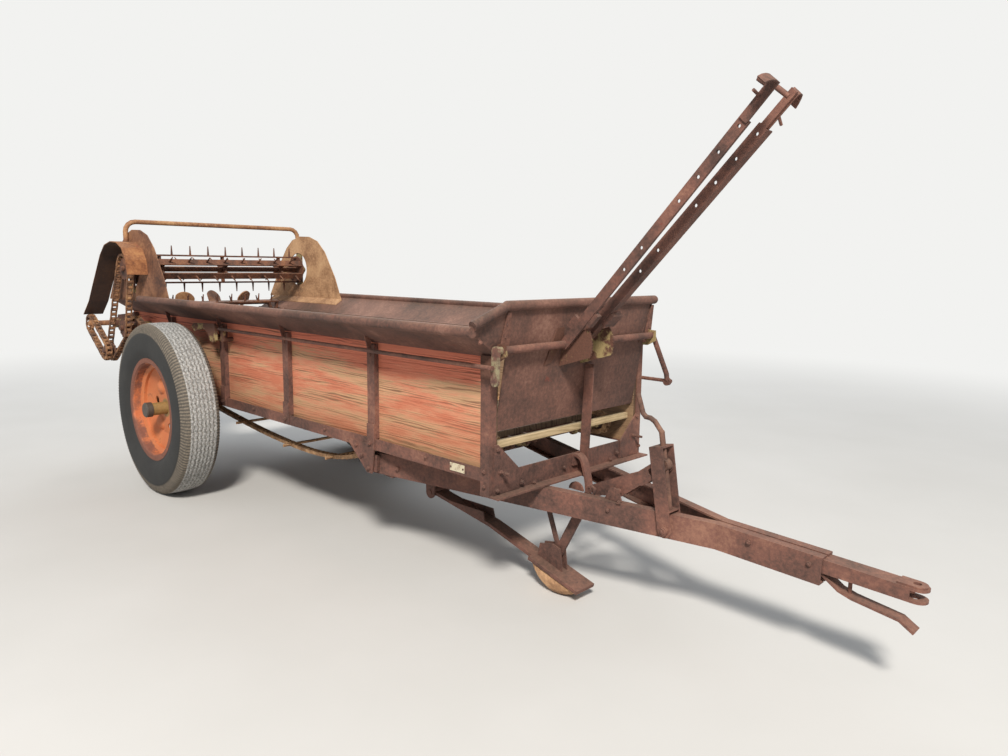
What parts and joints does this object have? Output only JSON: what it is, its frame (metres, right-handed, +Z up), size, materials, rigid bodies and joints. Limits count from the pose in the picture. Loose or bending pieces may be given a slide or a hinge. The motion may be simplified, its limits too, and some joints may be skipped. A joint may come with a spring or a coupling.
{
  "type": "ground-driven manure spreader",
  "caption": "Two-wheel ground-driven manure spreader with a wooden box, spiked beaters at the rear, a channel tongue and a screw-jacked parking stand, worn and rusted.",
  "frame": {"origin": "centre of the footprint, on the ground under the middle of the overall length", "axes": "+X forward to the hitch, +Y to the machine's left, +Z up"},
  "size_m": [5.0159, 1.578, 1.8145],
  "materials": {
    "board_paint": "faded red paint on weathered boards",
    "bare_wood": "bare weathered planks",
    "tyre_rubber": "worn ribbed rubber",
    "wheel_paint": "faded orange-red paint",
    "cast_iron_ochre": "rusted casting with ochre paint left",
    "plate": "blank cream plate",
    "chain_steel": "rusted malleable links",
    "shaft_steel": "dull rusted bar",
    "rusted_sheet": "brown rust over worn paint",
    "rusted_steel": "brown rust"
  },
  "bodies": {
    "root": {"sills": "rusted_steel", "floor": "bare_wood", "front_strip": "bare_wood", "stakes_right": "rusted_steel", "stakes_left": "rusted_steel", "boards_right": "board_paint", "boards_left": "board_paint", "flare_right": "rusted_sheet", "flare_left": "rusted_sheet", "front_panel": "rusted_sheet", "front_frame": "rusted_steel", "arch_right": "rusted_sheet", "arch_left": "rusted_sheet", "hoop": "rusted_sheet", "chain_guard": "rusted_sheet", "distributor_arms": "rusted_steel", "bearings": "cast_iron_ochre", "axle": "shaft_steel", "axle_chain": "chain_steel", "beater_chain": "chain_steel", "distributor_chain": "chain_steel", "low_shaft": "shaft_steel", "apron": "chain_steel", "apron_shafts": "shaft_steel", "tongue_right": "rusted_steel", "tongue_left": "rusted_steel", "tongue_plates": "rusted_steel", "hitch_head": "rusted_steel", "jack_bracket": "rusted_steel", "jack_screw": "shaft_steel", "stand_bracket": "rusted_steel", "control_brackets": "rusted_steel", "name_plate": "plate"},
    "right_wheel": {"tyre_right": "tyre_rubber", "rim_right": "wheel_paint"},
    "left_wheel": {"tyre_left": "tyre_rubber", "rim_left": "wheel_paint"},
    "main_drum": {"main_beater": "rusted_steel"},
    "upper_drum": {"upper_beater": "rusted_steel"},
    "distributor_drum": {"distributor": "rusted_steel"},
    "stand": {"stand_leg": "rusted_steel", "stand_shoe": "rusted_steel"},
    "link": {"stand_link": "rusted_steel"},
    "crank": {"bell_crank": "rusted_steel"},
    "nut": {"jack_nut": "shaft_steel"},
    "right_lever": {"lever_right": "rusted_steel"},
    "right_rod": {"rod_right": "rusted_steel"},
    "clutch": {"clutch_arm": "cast_iron_ochre"},
    "left_lever": {"lever_left": "rusted_steel"},
    "left_rod": {"rod_left": "rusted_steel"},
    "feed": {"feed_arm": "rusted_steel"}
  },
  "joints": [
    {"name": "right_wheel_turns", "type": "hinge", "parent": "root", "child": "right_wheel", "pos_m": [-1.098, -0.673, 0.465], "axis": [0, 1, 0], "continuous": true},
    {"name": "left_wheel_turns", "type": "hinge", "parent": "root", "child": "left_wheel", "pos_m": [-1.098, 0.673, 0.465], "axis": [0, 1, 0], "continuous": true},
    {"name": "main_beater_turns", "type": "hinge", "parent": "root", "child": "main_drum", "pos_m": [-1.838, 0, 0.85], "axis": [0, 1, 0], "continuous": true},
    {"name": "upper_beater_turns", "type": "hinge", "parent": "root", "child": "upper_drum", "pos_m": [-1.763, 0, 1.209], "axis": [0, 1, 0], "continuous": true},
    {"name": "distributor_turns", "type": "hinge", "parent": "root", "child": "distributor_drum", "pos_m": [-2.283, 0, 0.852], "axis": [0, 1, 0], "continuous": true},
    {"name": "stand_raises", "type": "hinge", "parent": "root", "child": "stand", "pos_m": [0.542, -0.14, 0.247], "axis": [0, -1, 0], "range_deg": [0, 4]},
    {"name": "link_turns", "type": "hinge", "parent": "stand", "child": "link", "pos_m": [1.247, -0.14, 0.152], "axis": [0, -1, 0], "range_deg": [-3.32, 0]},
    {"name": "crank_turns", "type": "hinge", "parent": "root", "child": "crank", "pos_m": [1.5, -0.0765, 0.446], "axis": [0, 1, 0], "range_deg": [0, 27.02]},
    {"name": "nut_slides", "type": "slide", "parent": "root", "child": "nut", "axis": [-0.165, 0, 0.9863], "range_m": [-0.10025, 0]},
    {"name": "right_lever_turns", "type": "hinge", "parent": "root", "child": "right_lever", "pos_m": [1.258, -0.143, 0.968], "axis": [0, 1, 0], "range_deg": [-12, 12]},
    {"name": "right_rod_swings", "type": "hinge", "parent": "right_lever", "child": "right_rod", "pos_m": [1.25, -0.514, 0.911], "axis": [0, 1, 0], "range_deg": [-12.05, 12.05]},
    {"name": "clutch_turns", "type": "hinge", "parent": "root", "child": "clutch", "pos_m": [-0.748, -0.502, 0.854], "axis": [0, 1, 0], "range_deg": [-12, 12]},
    {"name": "left_lever_turns", "type": "hinge", "parent": "root", "child": "left_lever", "pos_m": [1.258, -0.052, 0.968], "axis": [0, 1, 0], "range_deg": [-12, 12]},
    {"name": "left_rod_swings", "type": "hinge", "parent": "left_lever", "child": "left_rod", "pos_m": [1.302, 0.518, 0.765], "axis": [0, 1, 0], "range_deg": [-12.09, 12.09]},
    {"name": "feed_turns", "type": "hinge", "parent": "root", "child": "feed", "pos_m": [-1.408, 0.518, 0.92], "axis": [0, 1, 0], "range_deg": [-15.8, 15.8]}
  ],
  "couplings": [
    {"joint": "link_turns", "follows": "stand_raises", "ratio": -0.8292},
    {"joint": "crank_turns", "follows": "stand_raises", "ratio": 6.7551},
    {"joint": "nut_slides", "follows": "stand_raises", "m_per_rad": -1.4359},
    {"joint": "right_rod_swings", "follows": "right_lever_turns", "ratio": -1.0039},
    {"joint": "clutch_turns", "follows": "right_lever_turns", "ratio": -0.9999},
    {"joint": "left_rod_swings", "follows": "left_lever_turns", "ratio": -1.0074},
    {"joint": "feed_turns", "follows": "left_lever_turns", "ratio": 1.3167}
  ]
}
